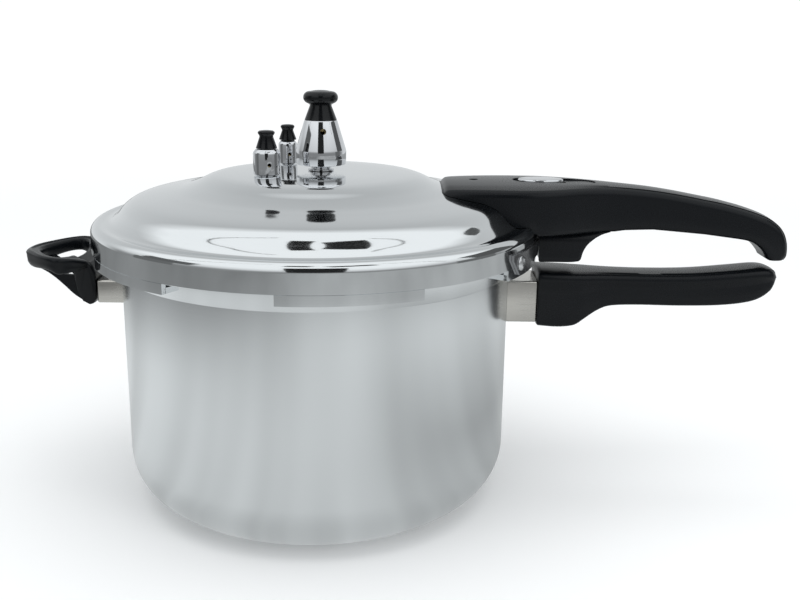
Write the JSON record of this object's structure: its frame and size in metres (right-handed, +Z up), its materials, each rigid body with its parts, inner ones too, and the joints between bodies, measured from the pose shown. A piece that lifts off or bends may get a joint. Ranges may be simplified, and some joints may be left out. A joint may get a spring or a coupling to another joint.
{
  "type": "pressure canner",
  "caption": "Lidded aluminium pressure canner with twist-lock lid, long handle pair, side helper handle, weighted steam vent, spring valves and pressure lock pin.",
  "frame": {"origin": "centre of the pot's flat base, on the surface that it stands on", "axes": "+Z up along the pot's axis, +X along the two long handles, +Y to the back of the pot"},
  "size_m": [0.478, 0.273, 0.2537],
  "materials": {
    "pot_aluminium": "satin, turned in fine rings round the wall",
    "lid_aluminium": "mirror polished, spun",
    "rack_aluminium": "plain punched sheet",
    "bracket_steel": "warm satin stainless",
    "strap_steel": "polished stainless strap",
    "handle_black": "moulded phenolic, soft gloss",
    "knob_black": "moulded phenolic, gloss",
    "valve_chrome": "bright, turned",
    "rivet_aluminium": "cold-headed, bright",
    "fastener_steel": "zinc-plated",
    "spring_steel": "drawn wire",
    "seal_rubber": "moulded silicone rubber, dull",
    "valve_brass": "turned brass"
  },
  "bodies": {
    "pot": {"pot_body": "pot_aluminium", "canning_rack": "rack_aluminium", "pot_handle_bracket": "bracket_steel", "pot_bracket_rivets": "rivet_aluminium", "pot_handle": "handle_black", "pot_handle_screws": "fastener_steel", "side_handle_bracket": "bracket_steel", "side_bracket_rivets": "rivet_aluminium", "side_handle": "handle_black", "side_handle_screw": "fastener_steel"},
    "lid": {"lid_shell": "lid_aluminium", "sealing_ring": "seal_rubber", "lid_strap": "strap_steel", "lid_strap_rivets": "rivet_aluminium", "lid_handle": "handle_black", "lid_handle_foot": "handle_black", "lid_handle_screws": "fastener_steel", "vent_pipe": "valve_chrome", "vent_pipe_nut": "fastener_steel", "vent_gasket": "seal_rubber", "safety_valve_body": "valve_chrome", "safety_valve_nut": "fastener_steel", "relief_valve_body": "valve_chrome", "relief_valve_nut": "fastener_steel", "lock_pin_bush": "valve_brass", "lock_pin_nut": "fastener_steel", "safety_valve_spring": "spring_steel", "relief_valve_spring": "spring_steel", "slider_spring": "spring_steel"},
    "weight": {"weight_body": "valve_chrome", "weight_knob": "knob_black", "weight_needle": "valve_brass"},
    "safety_plunger": {"safety_valve_cap": "knob_black", "safety_valve_stem": "valve_brass"},
    "relief_plunger": {"relief_valve_cap": "knob_black", "relief_valve_stem": "valve_brass"},
    "pressure_pin": {"lock_pin": "fastener_steel", "lock_pin_seal": "seal_rubber"},
    "lock_slider": {"slider_button": "valve_chrome", "slider_bolt": "fastener_steel", "slider_screw": "fastener_steel"}
  },
  "joints": [
    {"name": "lid_twist", "type": "hinge", "parent": "pot", "child": "lid", "pos_m": [0, 0, 0.165], "axis": [0, 0, 1], "range_deg": [0, 30]},
    {"name": "weight_lift", "type": "slide", "parent": "lid", "child": "weight", "axis": [0, 0, 1], "range_m": [0, 0.025]},
    {"name": "safety_valve_lift", "type": "slide", "parent": "lid", "child": "safety_plunger", "axis": [0, 0, 1], "range_m": [0, 0.003], "stiffness_N_per_m": 400, "deforming": ["safety_valve_spring"]},
    {"name": "relief_valve_lift", "type": "slide", "parent": "lid", "child": "relief_plunger", "axis": [0, 0, 1], "range_m": [0, 0.0025], "stiffness_N_per_m": 300, "deforming": ["relief_valve_spring"]},
    {"name": "pressure_pin_rise", "type": "slide", "parent": "lid", "child": "pressure_pin", "axis": [0, 0, 1], "range_m": [0, 0.004]},
    {"name": "lock_slide", "type": "slide", "parent": "lid", "child": "lock_slider", "axis": [1, 0, 0], "range_m": [0, 0.008], "stiffness_N_per_m": 200, "deforming": ["slider_spring"]}
  ]
}
